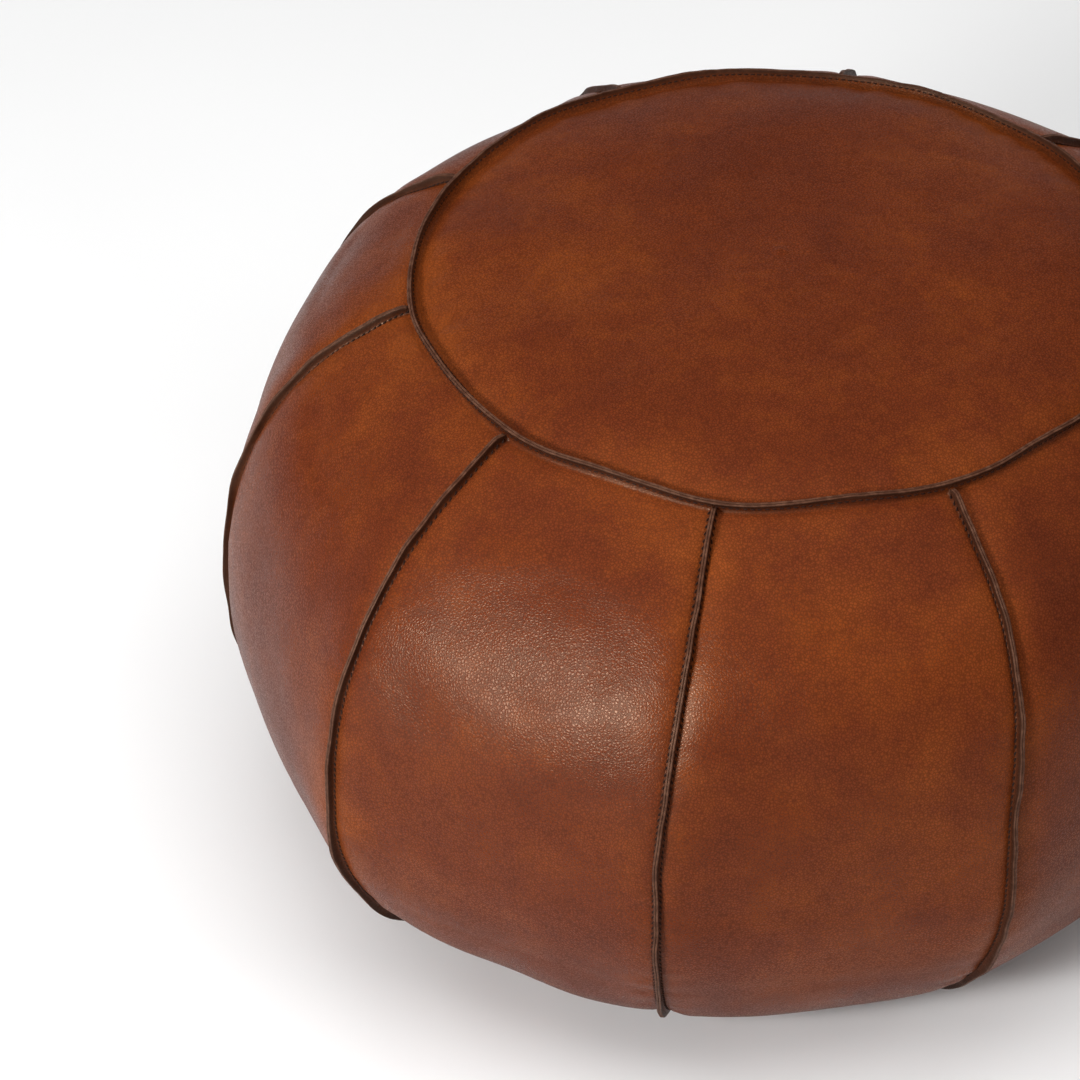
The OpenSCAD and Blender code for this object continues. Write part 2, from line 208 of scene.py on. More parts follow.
def simulate():
    """Cloth over the whole side, held along its seams, blown out by the filling.
    Gives how far each point of each gore moves out, in millimetres."""
    rows = np.linspace(0, ARC, NS + 1)
    verts, pins = [], []
    for i in range(GORES):
        u = np.arange(NU) / NU
        U, A = np.meshgrid(u, rows)
        d = np.minimum(U, 1 - U) * np.radians(STEP) * 270
        r, z, th, n, w = gore_env(i, U, A)
        # a held seam sits in its valley
        pull = VALLEY * np.exp(-d / 9) + 3.0 * np.sin(np.pi * U) * np.sin(np.pi * A / ARC)
        verts.append((place(r - pull * n[..., 0], z - pull * n[..., 1], th)))
        pins.append(((U == 0) | (A == rows[0]) | (A == rows[-1])))
    V = np.concatenate(verts, 1)           # rows x (10*NU) x 3
    P = np.concatenate(pins, 1)
    cols = V.shape[1]
    ob = make_mesh("cloth_side", V.reshape(-1, 3), grid_faces(NS + 1, cols, wrap=True, flip=True))
    vg = ob.vertex_groups.new(name="pin")
    vg.add([int(k) for k in np.nonzero(P.ravel())[0]], 1.0, "REPLACE")
    md = ob.modifiers.new("Cloth", "CLOTH")
    st = md.settings
    st.quality = 6
    st.mass = 0.25
    st.tension_stiffness = 25
    st.compression_stiffness = 12
    st.shear_stiffness = 6
    st.bending_stiffness = 2.4
    st.vertex_group_mass = "pin"
    st.pin_stiffness = 1.0
    st.use_pressure = True
    st.uniform_pressure_force = 3.0
    st.shrink_min = -0.009
    st.shrink_max = -0.009
    st.air_damping = 2.0
    st.tension_damping = st.compression_damping = 15
    st.effector_weights.gravity = 0.15
    md.collision_settings.use_collision = False
    md.collision_settings.use_self_collision = False
    md.point_cache.frame_start, md.point_cache.frame_end = 1, 26
    sc = bpy.context.scene
    sc.frame_start, sc.frame_end = 1, 26
    for f in range(1, 27):
        sc.frame_set(f)
    dg = bpy.context.evaluated_depsgraph_get()
    ev = ob.evaluated_get(dg)
    me = ev.to_mesh()
    out = np.empty(len(me.vertices) * 3)
    me.vertices.foreach_get("co", out)
    ev.to_mesh_clear()
    out = out.reshape(V.shape) / MM
    sc.frame_set(1)
    bpy.data.objects.remove(ob)
    # outward part of the move
    nx = np.roll(V, -1, 1) - np.roll(V, 1, 1)
    ny = np.gradient(V, axis=0)
    nn = np.cross(nx, ny)
    nn /= np.maximum(np.linalg.norm(nn, axis=-1)[..., None], 1e-9)
    mid = V - np.array([BASE_C[0], BASE_C[1], 170.0])
    nn *= np.sign((nn * mid).sum(-1).mean())
    D = ((out - V) * nn).sum(-1)
    return D, rows


def blur(f, k, wrap):
    for _ in range(k):
        if wrap:
            g = (np.roll(f, 1, 1) + np.roll(f, -1, 1) + 2 * f) / 4
        else:
            e = np.pad(f, ((0, 0), (1, 1)), mode="edge")
            g = (e[:, 2:] + e[:, :-2] + 2 * f) / 4
        e = np.pad(g, ((1, 1), (0, 0)), mode="edge")
        f = (e[2:] + e[:-2] + 2 * g) / 4
    return f


def cubic(f, x, y):
    """Catmull-Rom lookup of f[row, col] at fractional rows x and cols y."""
    def wts(t):
        return [-0.5 * t + t * t - 0.5 * t ** 3, 1 - 2.5 * t * t + 1.5 * t ** 3, 0.5 * t + 2 * t * t - 1.5 * t ** 3, -0.5 * t * t + 0.5 * t ** 3]
    x0 = np.clip(np.floor(x).astype(int), 0, f.shape[0] - 1)
    y0 = np.clip(np.floor(y).astype(int), 0, f.shape[1] - 1)
    wx, wy = wts(x - x0), wts(y - y0)
    out = 0
    for a in range(4):
        xi = np.clip(x0 + a - 1, 0, f.shape[0] - 1)
        for b in range(4):
            yi = np.clip(y0 + b - 1, 0, f.shape[1] - 1)
            out = out + wx[a] * wy[b] * f[xi, yi]
    return out


MOVE, _rows = simulate()
# the broad bulge is the designed one: keep the folds and a capped share of the bulge
parts = []
for i in range(GORES):
    seg = np.concatenate([MOVE[:, i * NU:(i + 1) * NU], MOVE[:, ((i + 1) * NU) % MOVE.shape[1]][:, None]], 1)
    broad = blur(seg, 30, False)
    fold = blur(seg, 2, False) - broad
    edge = np.sin(np.pi * np.linspace(0, 1, NU + 1))[None, :] ** 0.5 * np.sin(np.pi * np.linspace(0, 1, NS + 1))[:, None] ** 0.4
    fold = 1.1 * np.tanh(0.8 * fold / 1.1)
    bulge = 2.2 * np.tanh(0.35 * (broad - broad.mean()) / 2.2)
    parts.append((fold + bulge + 0.6) * edge)
MOVE = parts


def move_at(i, u, a):
    if MOVE is None:
        return np.zeros(np.broadcast(u, a).shape)
    return cubic(MOVE[i], a / ARC * NS, u * NU)


# ---------------------------------------------------------------- side gores
ROWS = 150
# spacing is finer near the two end seams
_t = np.linspace(0, 1, ROWS)
A_ROWS = 2.4 + (ARC - 2.4) * (_t - 0.045 * np.sin(2 * np.pi * _t))
D_COLS = np.array([2.6, 3.6, 5.0, 7.0, 9.5, 12.5, 16.0, 20.5])     # distances from a seam
N_MID = 26


def fin_side(sgn):
    """Cross-section of one leather layer of a turned-out seam: (sideways, up) from the
    slit, over the raw edge and down the outside, for a fin 1 high."""
    return [(0.05, 0.10), (0.05, 0.60), (0.06, 0.95), (0.16, 0.995), (0.62, 1.0), (1.08, 0.99),
            (1.27, 0.94), (1.33, 0.74), (1.36, 0.48), (1.46, 0.26), (1.85, 0.12)]


FIN_W = np.array([q[0] for q in fin_side(1)])
FIN_H = np.array([q[1] for q in fin_side(1)])
NF = len(FIN_W)
# how dark each row of a side fin is coloured: burnished edge dye, with painted shade down the flanks
FIN_ROW_DYE_AND_SHADE = np.clip(0.10 + 1.5 * FIN_H, 0, 1)
RIM_M = np.clip((FIN_H - 0.20) / 0.5, 0, 1)


def fin_height(i, a):
    """Height of seam i's fin above the valley floor, and how far the fin leans sideways."""
    p, n, w = side(a)
    i = i % GORES
    h = 0.80 * FIN * (1 + 0.08 * waves(20 + i, a / 60.0))
    h = h * (0.55 + 0.45 * smooth(a / 7.0))
    dip = dip_at(a)
    top = np.where(n[..., 1] < -0.05, (p[..., 1] - 1.0) / np.maximum(-n[..., 1], 0.05) + dip, 99)
    h = np.clip(np.minimum(h, top), 0.4, None)
    tilt = 0.22 * waves(40 + i, a / 130.0) + 0.08 * waves(60 + i, a / 35.0)
    return h, tilt


def dip_at(a):
    w = np.interp(a, _a, _w)
    return VALLEY * np.clip(0.1 + w / 0.12, 0, 1) * np.clip((2 - w) / 0.25, 0.0, 1)


def rim_dip(a):
    return 2.2 * np.exp(-a / 9.0)


def pucker(i, a, d, side_id):
    """Small gathers where the thread pulls the leather into the seam."""
    k = waves(80 + 2 * (i % GORES) + side_id, a / 16.0, d / 40.0, n=6, lo=0.6, hi=1.6)
    low = 0.5 + 1.0 * smooth((a - 0.45 * ARC) / (0.4 * ARC))
    return 0.20 * k * np.exp(-((d - 7) / 9.0) ** 2) * low


def softness(i, u, a):
    """Slow unevenness of the stuffing, different on every gore."""
    x = (i + u) * 190.0
    s = 1.1 * waves(7, np.cos(np.radians((i + u) * 36)) * 1.1, np.sin(np.radians((i + u) * 36)) * 1.1, a / 420.0, n=9, lo=0.6, hi=1.7)
    s = s + 0.35 * waves(8, x / 70.0 * 0.5, a / 110.0, n=7)
    # the slack foot of a gore sags between its seams
    low = smooth((a - 0.60 * ARC) / (0.18 * ARC)) * smooth((ARC - a) / (0.12 * ARC))
    s = s + low * 0.9 * waves(9 + i, u * 1.3, a / 160.0, n=5)
    return s * np.sin(np.pi * np.clip(u, 0, 1)) ** 0.7


def build_gore(i):
    A = A_ROWS
    p, n, w = side(A)
    # half width of the gore in millimetres, from the two seam lines
    thL, thR = seam_theta(i, w), seam_theta(i + 1, w) + (360 if i == 9 else 0)
    rL = RIM_R + (p[:, 0] - RIM_R) * SWELL[i]
    rR = RIM_R + (p[:, 0] - RIM_R) * SWELL[(i + 1) % 10]
    width = np.radians(thR - thL) * (rL + rR) / 2
    cols_d = D_COLS
    mid = np.linspace(0, 1, N_MID + 2)[1:-1]
    uL = cols_d[None, :] / width[:, None]
    u_in, u_out = uL[:, -1], 1 - uL[:, -1]
    um = u_in[:, None] + (u_out - u_in)[:, None] * mid[None, :]
    U = np.concatenate([uL, um, (1 - uL)[:, ::-1]], 1)
    AA = np.repeat(A[:, None], U.shape[1], 1)
    d = np.minimum(U, 1 - U) * width[:, None]
    side_id = (U > 0.5).astype(int)
    r, z, th, nn, ww = gore_env(i, U, AA)
    fall = np.exp(-d / 7.0)
    push = -dip_at(AA) * fall - rim_dip(AA) + move_at(i, U, AA) + softness(i, U, AA) * (1 - fall)
    push = push + np.where(side_id == 0, pucker(i, AA, d, 0), pucker(i + 1, AA, d, 1))
    end = smooth((ARC - AA) / 25.0) * smooth(AA / 12.0 + 0.15)
    base_push = -dip_at(AA) * fall - rim_dip(AA)
    push = base_push + (push - base_push) * end
    zz = z + push * nn[..., 1]
    zz = np.maximum(zz, 1.2 + 3.6 * smooth(1 - (ARC - AA) / 30))
    panel = place(r + push * nn[..., 0], zz, th)
    rows = []

    def fin_block(sd):
        k = i if sd == 0 else i + 1
        sg = 1.0 if sd == 0 else -1.0
        h, tilt = fin_height(k, A)
        rr = rL if sd == 0 else rR
        tt = thL if sd == 0 else thR
        dip = dip_at(A) + rim_dip(A)
        W = FIN_W[None, :] * sg
        H = FIN_H[None, :] * h[:, None]
        # a fin leans a little to one side or the other, both layers together
        W = W + tilt[:, None] * H * 0.6
        off = -dip[:, None] + H
        R = rr[:, None] + off * n[:, 0][:, None]
        Z = p[:, 1][:, None] + off * n[:, 1][:, None]
        Z = np.maximum(Z, 0.7)
        TH = tt[:, None] + np.degrees(W / R)
        return place(R, Z, TH)

    left = fin_block(0)
    right = fin_block(1)[:, ::-1]
    body = np.concatenate([left, panel, right], 1)
    C = body.shape[1]
    # share across the gore of every column at the rim, for the turned-up edge
    th_top = np.concatenate([thL[0] + np.degrees(FIN_W / RIM_R), th[0], (thR[0] - np.degrees(FIN_W / RIM_R))[::-1]])
    rr, rz = rim_line(th_top)
    lean_a = rim_lean(th_top)
    fr, fz = np.sin(lean_a), np.cos(lean_a)
    nr, nz = np.cos(lean_a), -np.sin(lean_a)
    # a corner where three edges meet is a little thicker
    corner = np.exp(-np.minimum(th_top - thL[0], thR[0] - th_top) / 0.9)
    H = rim_height(th_top)
    rim_rows = []
    for (wd, up) in zip(FIN_W, FIN_H):
        wd = wd * (1 + 0.25 * corner * (wd > 1))
        rim_rows.append(place(rr + wd * nr + up * H * fr, rz + wd * nz + up * H * fz, th_top))
    rim_rows = np.array(rim_rows)
    # the rim line moves the first rows of the body with it
    shift_r = (rr - RIM_R)[None, :] * np.exp(-A / 25.0)[:, None]
    shift_z = (rz - RIM_Z)[None, :] * np.exp(-A / 25.0)[:, None]
    ta = np.radians(th_top)
    body = body + np.stack([shift_r * np.cos(ta), shift_r * np.sin(ta), shift_z], -1)
    # tuck at the base: fold under and out again, flat on the base panel
    foot = []
    th_b = np.concatenate([thL[-1] + np.degrees(FIN_W / BASE_R), th[-1], (thR[-1] - np.degrees(FIN_W / BASE_R))[::-1]])
    for (r_, z_) in [(BASE_R - 0.6, 4.4), (BASE_R - 0.2, 3.8), (BASE_R + 1.5, 3.5), (BASE_R + 5.4, 3.4), (BASE_R + 5.9, 3.1), (BASE_R + 5.9, 2.1), (BASE_R + 5.2, 1.8)]:
        foot.append(place(np.full(C, r_), np.full(C, z_), th_b))
    foot = np.array(foot)
    full = np.concatenate([rim_rows, body, foot], 0)
    nrow = full.shape[0]
    # attributes
    d_all = np.concatenate([np.tile(FIN_W, (ROWS, 1)), d, np.tile(FIN_W[::-1], (ROWS, 1))], 1)
    # side fins: burnished edge dye with painted shade on the flanks; the panel just beside a fin gets a little painted
    # shade
    fin_dye_and_shade = np.concatenate([np.tile(FIN_ROW_DYE_AND_SHADE, (ROWS, 1)), np.clip(1 - (d - 2.0) / 1.6, 0, 1) * 0.25, np.tile(FIN_ROW_DYE_AND_SHADE[::-1], (ROWS, 1))], 1)
    raw = np.concatenate([np.tile((FIN_H > 0.98) * 1.0, (ROWS, 1)), d * 0, np.tile((FIN_H[::-1] > 0.98) * 1.0, (ROWS, 1))], 1)
    edge_dye_and_shade_full = np.concatenate([np.tile(RIM_M[:, None], (1, C)), fin_dye_and_shade, np.ones((len(foot), C))], 0)
    raw_full = np.concatenate([np.tile(((FIN_H > 0.98) * 1.0)[:, None], (1, C)), raw, np.zeros((len(foot), C))], 0)
    d_top = np.tile(d_all[0], (NF, 1)) * 0
    near = np.concatenate([d_top, np.minimum(d_all, np.minimum(A[:, None] + 0.5, (ARC - A)[:, None] + 0.5)), np.zeros((len(foot), C))], 0)
    arc = np.concatenate([np.zeros((NF, C)), np.repeat(A[:, None], C, 1), np.full((len(foot), C), ARC)], 0)
    lr = np.concatenate([np.tile(np.concatenate([-FIN_W[::-1] * 0, d[0] * 0, FIN_W * 0]), (NF, 1)), np.concatenate([-np.tile(FIN_W, (ROWS, 1)), np.where(side_id == 0, -d, d), np.tile(FIN_W[::-1], (ROWS, 1))], 1), np.zeros((len(foot), C))], 0)
    ob = make_mesh("leather_gore_%02d" % (i + 1), full.reshape(-1, 3), grid_faces(nrow, C, flip=True),
                   {"fin": edge_dye_and_shade_full, "raw": raw_full, "near": near, "arc": arc, "lr": lr})
    return ob


gores = []
for i in range(GORES):
    ob = build_gore(i)
    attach(ob, "pouf")
    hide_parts("side_panel_%02d" % (i + 1))
    gores.append(ob)


# ---------------------------------------------------------------- top panel
def crown(x):
    """Height of the stuffed top over the rim, x from 0 at the middle to 1 at the rim."""
    s = np.linspace(0, 1, 200)
    q = bez([(RIM_R - 2, 0.0), (RIM_R - 24, 15.0), (90, CROWN), (0, CROWN)], s)
    return np.interp(x * RIM_R, q[::-1, 0], q[::-1, 1])


def build_top():
    cols = 400
    th = np.arange(cols) * 360.0 / cols
    rr, rz = rim_line(th)
    t = np.linspace(0, 1, 74)
    rad = 1 - (1 - t) ** 1.25            # share of the radius, closer rings at the rim
    rad = rad[1:]
    rings = []
    near = []
    for x in rad:
        R = x * (rr - 2.4)
        X, Y = R * np.cos(np.radians(th)) / 100, R * np.sin(np.radians(th)) / 100
        edge = (1 - x) * RIM_R
        z = RIM_Z + (rz - RIM_Z) * x ** 3 + crown(x) - 2.0 * np.exp(-edge / 8.0)
        soft = 0.8 * waves(12, X * 0.45, Y * 0.45, n=8) + 0.3 * waves(13, X * 1.3, Y * 1.3, n=8)
        # short gathers that run in from the rim
        k = waves(14, np.cos(np.radians(th)) * 9, np.sin(np.radians(th)) * 9, n=9, lo=0.7, hi=1.3)
        soft = soft * smooth(edge / 40) + 0.35 * k * np.exp(-((edge - 9) / 10) ** 2)
        rings.append(place(R, np.minimum(z + soft, RIM_Z + CROWN + 1.0), th) + np.array([0, 0, 0]))
        near.append(np.full(cols, edge + 1.5))
    lean_a = rim_lean(th)
    fr, fz = np.sin(lean_a), np.cos(lean_a)
    nr, nz = np.cos(lean_a), -np.sin(lean_a)
    H = rim_height(th)
    fin, raw = [np.zeros(cols)] * len(rings), [np.zeros(cols)] * len(rings)
    for (wd, up) in list(zip(FIN_W, FIN_H))[::-1]:
        rings.append(place(rr - wd * nr + up * H * fr, rz - wd * nz + up * H * fz, th))
        near.append(np.zeros(cols))
        fin = fin + [np.full(cols, min(1, max(0, (up - 0.20) / 0.5)))]
        raw = raw + [np.full(cols, 1.0 * (up > 0.98))]
    V = np.array(rings)
    m = len(rings)
    c = place(np.zeros(1), np.array([RIM_Z + CROWN + 0.4]), np.zeros(1))
    verts = np.concatenate([V.reshape(-1, 3), c])
    f4 = grid_faces(m, cols, wrap=True)
    me_name = "leather_top"
    ob = make_mesh(me_name, verts, f4, {
        "fin": np.append(np.array(fin).ravel(), 0), "raw": np.append(np.array(raw).ravel(), 0),
        "near": np.append(np.array(near).ravel(), 200), "arc": np.zeros(len(verts)), "lr": np.zeros(len(verts))})
    import bmesh
    bm = bmesh.new()
    bm.from_mesh(ob.data)
    bm.verts.ensure_lookup_table()
    mid = bm.verts[len(verts) - 1]
    for k in range(cols):
        f = bm.faces.new((mid, bm.verts[k], bm.verts[(k + 1) % cols]))
        f.smooth = True
    bmesh.ops.recalc_face_normals(bm, faces=bm.faces)
    bm.to_mesh(ob.data)
    bm.free()
    return ob


top = build_top()
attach(top, "pouf")
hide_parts("top_panel")


# ---------------------------------------------------------------- stitches
def capsules(points, dirs, length, radius, bow=None, sides=6):
    """Many short threads: centre points, unit directions (N x 3), and an optional bow direction."""
    points, dirs = np.asarray(points), np.asarray(dirs)
    up = np.asarray(bow) if bow is not None else np.tile([0, 0, 1.0], (len(points), 1))
    sd = np.cross(dirs, up)
    sd /= np.maximum(np.linalg.norm(sd, axis=1)[:, None], 1e-9)
    up = np.cross(sd, dirs)
    ts = np.array([-0.5, -0.42, -0.2, 0.2, 0.42, 0.5])
    rs = np.array([0.30, 0.80, 1.0, 1.0, 0.80, 0.30])
    bowed = np.array([-0.75, -0.35, 0.12, 0.12, -0.35, -0.75])
    ang = np.arange(sides) * 2 * np.pi / sides
    rings = []
    for t, rr_, b in zip(ts, rs, bowed):
        c = points + dirs * (t * length) + up * (b * radius)
        ring = c[:, None, :] + radius * rr_ * (np.cos(ang)[None, :, None] * sd[:, None, :] + np.sin(ang)[None, :, None] * up[:, None, :])
        rings.append(ring)
    V = np.stack(rings, 1)              # N x 6 x sides x 3
    n_ = len(points)
    per = 6 * sides
    base = grid_faces(6, sides, wrap=True)
    F = (base[None] + (np.arange(n_) * per)[:, None, None]).reshape(-1, 4)
    cap0 = np.array([[0, 1, 2, 3], [0, 3, 4, 5]])[:, ::-1]
    cap1 = np.array([[0, 1, 2, 3], [0, 3, 4, 5]]) + 5 * sides
    caps = np.concatenate([cap0, cap1])
    F2 = (caps[None] + (np.arange(n_) * per)[:, None, None]).reshape(-1, 4)
    return V.reshape(-1, 3), np.concatenate([F, F2])


PITCH = 3.7


def side_stitches():
    pts, dirs, bows = [], [], []
    for k in range(GORES):
        a = np.arange(5.0, ARC - 26, PITCH)
        rng = np.random.RandomState(200 + k)
        a = a + rng.uniform(-0.15, 0.15, len(a))
        for sg in (1, -1):
            def pos(a, up):
                p, n, w = side(a)
                h, tilt = fin_height(k, a)
                off = -(dip_at(a) + rim_dip(a)) + up
                rr_ = RIM_R + (p[:, 0] - RIM_R) * SWELL[k]
                R = rr_ + off * n[:, 0]
                Z = p[:, 1] + off * n[:, 1]
                Wd = sg * 1.86 + tilt * up * 0.6
                return place(R, Z, seam_theta(k, w) + np.degrees(Wd / R))
            up = 0.95 + rng.uniform(-0.08, 0.08, len(a))
            c = pos(a, up)
            d = pos(a + 0.5, up) - pos(a - 0.5, up)
            d /= np.linalg.norm(d, axis=1)[:, None]
            o = pos(a, up + 0.0)
            th = seam_theta(k, side(a)[2])
            e = np.stack([-np.sin(np.radians(th)), np.cos(np.radians(th)), th * 0], -1) * sg
            # a slight slant, as the needle goes in
            d = d + 0.62 * e
            d /= np.linalg.norm(d, axis=1)[:, None]
            pts.append(c)
            dirs.append(d)
            bows.append(e)
    V, F = capsules(np.concatenate(pts), np.concatenate(dirs), 2.9, 0.42, np.concatenate(bows))
    return make_mesh("stitches_side", V, F)


def rim_stitches():
    pts, dirs, bows = [], [], []
    cnt = int(2 * math.pi * RIM_R / PITCH)
    rng = np.random.RandomState(300)
    for sg in (1, -1):
        th = np.arange(cnt) * 360.0 / cnt + rng.uniform(-0.04, 0.04, cnt)
        def pos(th):
            rr_, rz_ = rim_line(th)
            la = rim_lean(th)
            wd = 1.50 * sg
            return place(rr_ + wd * np.cos(la) + 1.3 * np.sin(la), rz_ - wd * np.sin(la) + 1.3 * np.cos(la), th)
        c = pos(th)
        d = pos(th + 0.1) - pos(th - 0.1)
        d /= np.linalg.norm(d, axis=1)[:, None]
        la = rim_lean(th)
        e = np.stack([np.cos(la) * np.cos(np.radians(th)), np.cos(la) * np.sin(np.radians(th)), -np.sin(la)], -1) * sg
        pts.append(c)
        dirs.append(d)
        bows.append(e)
    V, F = capsules(np.concatenate(pts), np.concatenate(dirs), 2.7, 0.36, np.concatenate(bows))
    return make_mesh("stitches_top", V, F)


def base_stitches():
    cnt = int(2 * math.pi * (BASE_R + 3) / PITCH)
    th = np.arange(cnt) * 360.0 / cnt
    c = place(np.full(cnt, BASE_R + 3.0), np.full(cnt, 3.75), th)
    d = np.stack([-np.sin(np.radians(th)), np.cos(np.radians(th)), th * 0], -1)
    V, F = capsules(c, d, 2.9, 0.4, np.tile([0, 0, 1.0], (cnt, 1)))
    return make_mesh("stitches_base", V, F)


st_side, st_top, st_base = side_stitches(), rim_stitches(), base_stitches()
for ob, node in ((st_side, "stitching_side_seams"), (st_top, "stitching_top_seam"), (st_base, "stitching_base_seam")):
    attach(ob, "pouf")
    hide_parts(node)


# ---------------------------------------------------------------- cotton bag and filling
def recess(x, y, d=0.0):
    """How far the fold for the zip rises from the floor at x, y."""
    ax, ay = np.abs(x - BASE_C[0]), np.abs(y - BASE_C[1])
    return smooth((17.5 + d - ay) / 11.0) * smooth((187.0 + d - ax) / 13.0)


def bag(name, depth):
    us = np.arange(12) / 12
    rings = []
    for x in [0.06, 0.2, 0.35, 0.5, 0.64, 0.76, 0.86, 0.93, 0.97]:
        th = np.concatenate([lerp(seam_theta(i, 0), seam_theta(i, 0) + STEP, us) for i in range(10)])
        rings.append(place(x * (RIM_R - depth * 0.5) + 0 * th, RIM_Z + crown(x) - depth + 0 * th, th))
    for a in np.linspace(depth * 0.8 + 3, ARC - depth - 14, 44):
        seg = []
        for i in range(10):
            r, z, th, n, w = gore_env(i, us, np.full(12, a), -depth)
            d = np.minimum(us, 1 - us) * np.radians(STEP) * r
            dp = dip_at(np.full(12, a)) * np.exp(-d / 9.0)
            seg.append(place(r - dp * n[:, 0], z - dp * n[:, 1], th))
        rings.append(np.concatenate(seg))
    last = rings[-1]
    out = (last[:, :2] - BASE_C) / np.linalg.norm(last[:, :2] - BASE_C, axis=1)[:, None]
    foot_r = BASE_R - 3.0 - 0.4 * depth
    for x, z in [(1.0, 8.0), (0.995, 5.5), (0.98, 3.4), (0.95, 2.4), (0.85, 2.4), (0.7, 2.4), (0.52, 2.4), (0.34, 2.4), (0.16, 2.4)]:
        q = last.copy()
        q[:, :2] = BASE_C + out * foot_r * x
        q[:, 2] = z + 0.25 * depth + recess(q[:, 0], q[:, 1], 6) * 12.0
        rings.append(q)
    V = np.array(rings)
    m, c = V.shape[:2]
    ends = np.array([[TOP_C[0], TOP_C[1], RIM_Z + CROWN - depth], [BASE_C[0], BASE_C[1], 14.4 + 0.25 * depth]])
    F = grid_faces(m, c, wrap=True, flip=True)
    ob = make_mesh(name, np.concatenate([V.reshape(-1, 3), ends]), F)
    import bmesh
    bm = bmesh.new()
    bm.from_mesh(ob.data)
    bm.verts.ensure_lookup_table()
    for k in range(c):
        j = (k + 1) % c
        bm.faces.new((bm.verts[m * c], bm.verts[j], bm.verts[k])).smooth = True
        bm.faces.new((bm.verts[m * c + 1], bm.verts[(m - 1) * c + k], bm.verts[(m - 1) * c + j])).smooth = True
    bmesh.ops.recalc_face_normals(bm, faces=bm.faces)
    bm.to_mesh(ob.data)
    bm.free()
    return ob


liner = bag("cotton_bag", 5.0)
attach(liner, "pouf")
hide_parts("liner_top", "liner_side", "liner_base")
wadding = bag("wadding", 7.5)
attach(wadding, "pouf")
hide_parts("filling")


# ---------------------------------------------------------------- base and zip
ZH = 168.0                       # half the zip opening
ROOF = 7.0                       # height of the fold over the floor


def base_half(sg):
    """Half of the base: flat on the floor, drawn up along the zip, its hem folded back."""
    cols, rows = 150, 60
    t = np.linspace(-1, 1, cols)
    x = np.sin(t * np.pi / 2 * 0.985) * (BASE_R + 6) / math.sin(np.pi / 2 * 0.985) * 0.9995
    inside = np.abs(x) < ZH
    y0 = np.where(inside, 5.6, 0.1) + (0.1 - 0.1)
    y0 = 0.1 + 5.5 * smooth((ZH - np.abs(x)) / 3.0)
    y1 = np.sqrt(np.maximum((BASE_R + 6) ** 2 - x ** 2, 0.2))
    y1 = np.maximum(y1, y0 + 0.3)
    k = np.linspace(0, 1, rows) ** 1.7
    Y = y0[None, :] + (y1 - y0)[None, :] * k[:, None]
    X = np.repeat(x[None, :], rows, 0)
    rec = recess(X + BASE_C[0], Y + BASE_C[1])
    rad = np.hypot(X, Y)
    und = 0.30 * (1 + waves(31, X / 90.0, Y / 90.0)) * smooth((BASE_R - rad) / 30) * (1 - rec)
    gather = 0.15 * (1 + waves(32, X / 14.0, Y / 60.0)) * np.exp(-((Y - 18) / 9) ** 2)
    Z = ROOF * rec + np.clip(und + gather, 0.06, 1.2)
    low = np.stack([X, sg * Y, Z], -1)
    # edge of the hem: round it over and run back above the leather
    e = low[0]
    up = [e + np.array([0, sg * -0.45, 0.4]), e + np.array([0, sg * -0.45, 1.1]), e + np.array([0, 0, 1.55])]
    up.append(e + np.array([0, sg * 3.0, 1.6]))
    o = low[-1]
    out = [o + np.array([0, 0, 0.9]), o + np.array([0, 0, 1.6]) * 1.0]
    full = np.concatenate([np.array(up[::-1]), low, np.array(out)], 0)
    full[..., 0] += BASE_C[0]
    full[..., 1] += BASE_C[1]
    nr_, nc_ = full.shape[:2]
    near = np.concatenate([np.zeros((4, cols)), np.minimum(Y - y0[None, :], BASE_R + 6 - rad), np.zeros((2, cols))], 0)
    fin = np.concatenate([np.full((4, cols), 0.15), smooth(1 - (BASE_R + 6 - rad) / 2.0), np.ones((2, cols))], 0)
    z0 = np.zeros_like(near)
    ob = make_mesh("leather_base_" + ("rear" if sg > 0 else "front"), full.reshape(-1, 3), grid_faces(nr_, nc_, flip=(sg < 0)),
                   {"near": near, "fin": np.clip(fin, 0, 1), "raw": z0, "arc": z0 + ARC, "lr": z0})
    return ob


bases = []
for sg, node in ((-1, "base_panel_front"), (1, "base_panel_rear")):
    ob = base_half(sg)
    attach(ob, "pouf")
    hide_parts(node)
    bases.append(ob)


def zip_stitches():
    xs = np.arange(-ZH + 1, ZH, PITCH)
    pts, dirs = [], []
    for sg in (1, -1):
        for y in (8.2,):
            Y = np.full(len(xs), y)
            z = ROOF * recess(xs + BASE_C[0], Y + BASE_C[1]) - 0.15
            pts.append(np.stack([xs + BASE_C[0], sg * Y + BASE_C[1], z], -1))
            dirs.append(np.tile([1.0, 0, 0], (len(xs), 1)))
    V, F = capsules(np.concatenate(pts), np.concatenate(dirs), 2.7, 0.35, np.tile([0, 0, -1.0], (2 * len(xs), 1)))
    return make_mesh("stitches_zip", V, F)


st_zip = zip_stitches()
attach(st_zip, "pouf")


